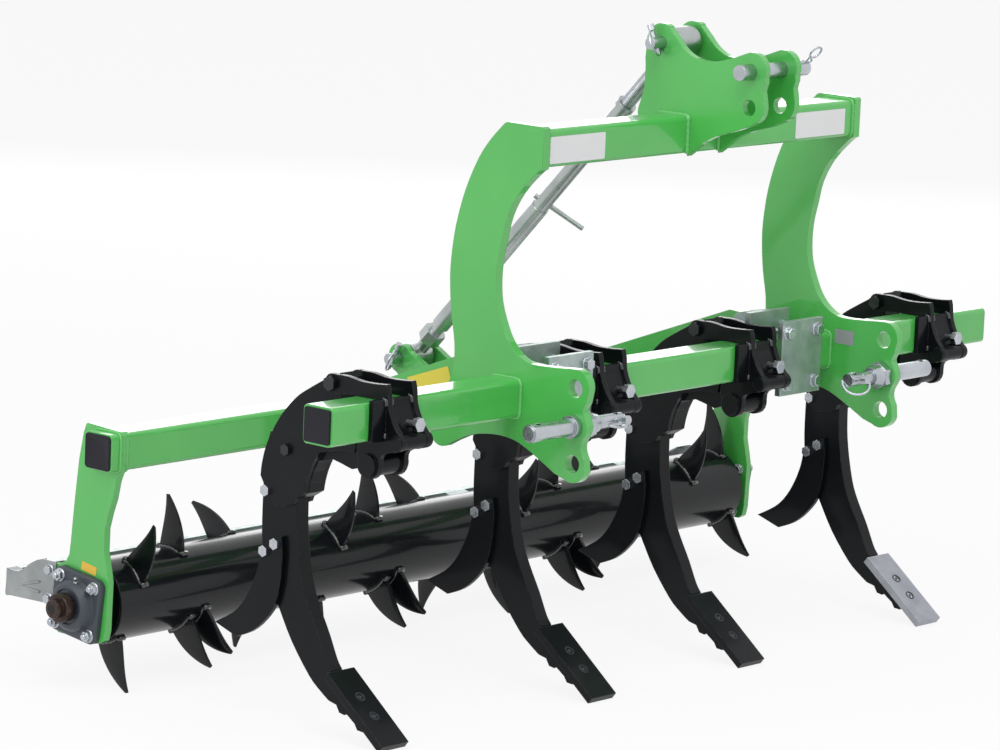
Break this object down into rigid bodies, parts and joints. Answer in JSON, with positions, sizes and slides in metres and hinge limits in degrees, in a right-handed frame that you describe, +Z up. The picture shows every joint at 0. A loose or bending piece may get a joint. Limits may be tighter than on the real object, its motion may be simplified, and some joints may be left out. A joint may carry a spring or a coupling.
{
  "type": "mounted subsoiler",
  "caption": "Tractor-mounted subsoiler: square beam with a bowed headstock, curved ripper tines with chisel points, and a spiked rear roller set by a turnbuckle.",
  "frame": {"origin": "on the floor under the middle of the machine's outline", "axes": "+X along the beam to the machine's right-hand side as seen in the picture, +Y to the rear, +Z up; the tractor side is -Y"},
  "size_m": [1.724, 0.893, 1.0764],
  "materials": {
    "green_paint": "gloss",
    "black_paint": "satin",
    "zinc_plate": "satin",
    "galvanised_steel": "matt",
    "plug_plastic": "matt",
    "bearing_iron": "satin"
  },
  "bodies": {
    "main_frame": {"main_beam": "green_paint", "beam_end_caps": "plug_plastic", "headstock_plate_left": "green_paint", "headstock_plate_right": "green_paint", "headstock_crossbar": "green_paint", "hitch_plates": "green_paint", "hitch_pin": "zinc_plate", "turnbuckle_top_pin": "zinc_plate", "lower_link_pin_left": "zinc_plate", "lower_link_pin_right": "zinc_plate", "tine_clamp_1": "black_paint", "tine_clamp_2": "black_paint", "tine_clamp_3": "black_paint", "tine_clamp_4": "black_paint", "tine_bracket_1": "black_paint", "tine_bracket_2": "black_paint", "tine_bracket_3": "black_paint", "tine_bracket_4": "black_paint", "tine_shank_1": "black_paint", "tine_shank_2": "black_paint", "tine_shank_3": "black_paint", "tine_shank_4": "black_paint", "tine_point_1": "black_paint", "tine_point_2": "black_paint", "tine_point_3": "black_paint", "tine_point_4": "black_paint", "tine_wings": "black_paint", "tine_bolts": "zinc_plate", "roller_bracket_left": "galvanised_steel", "roller_bracket_right": "galvanised_steel", "roller_pivot_pins": "zinc_plate"},
    "roller_frame": {"roller_arm_left": "green_paint", "roller_arm_right": "green_paint", "roller_crossbar": "green_paint", "roller_bar_caps": "plug_plastic", "roller_side_plate_left": "green_paint", "roller_side_plate_right": "green_paint", "bearing_housings": "bearing_iron", "scraper_bar": "galvanised_steel", "scraper_brackets": "galvanised_steel", "turnbuckle_lug": "green_paint", "turnbuckle_lower_pin": "zinc_plate"},
    "roller": {"roller_drum": "black_paint"},
    "turnbuckle_body": {"turnbuckle_barrel": "zinc_plate"},
    "turnbuckle_screw": {"turnbuckle_rod": "zinc_plate"}
  },
  "joints": [
    {"name": "roller_frame_pivot", "type": "hinge", "parent": "main_frame", "child": "roller_frame", "pos_m": [0, -0.1715, 0.547], "axis": [1, 0, 0], "range_deg": [-4, 2]},
    {"name": "roller_spin", "type": "hinge", "parent": "roller_frame", "child": "roller", "pos_m": [0, 0.2745, 0.141], "axis": [1, 0, 0], "continuous": true},
    {"name": "turnbuckle_swing", "type": "hinge", "parent": "main_frame", "child": "turnbuckle_body", "pos_m": [0, -0.2325, 1.044], "axis": [1, 0, 0], "range_deg": [-2.2, 1.2]},
    {"name": "turnbuckle_length", "type": "slide", "parent": "turnbuckle_body", "child": "turnbuckle_screw", "axis": [0, 0.6792, -0.7339], "range_m": [-0.0108, 0.022]}
  ],
  "couplings": [
    {"joint": "turnbuckle_swing", "follows": "roller_frame_pivot", "ratio": 0.4956},
    {"joint": "turnbuckle_length", "follows": "roller_frame_pivot", "m_per_rad": -0.2928}
  ]
}
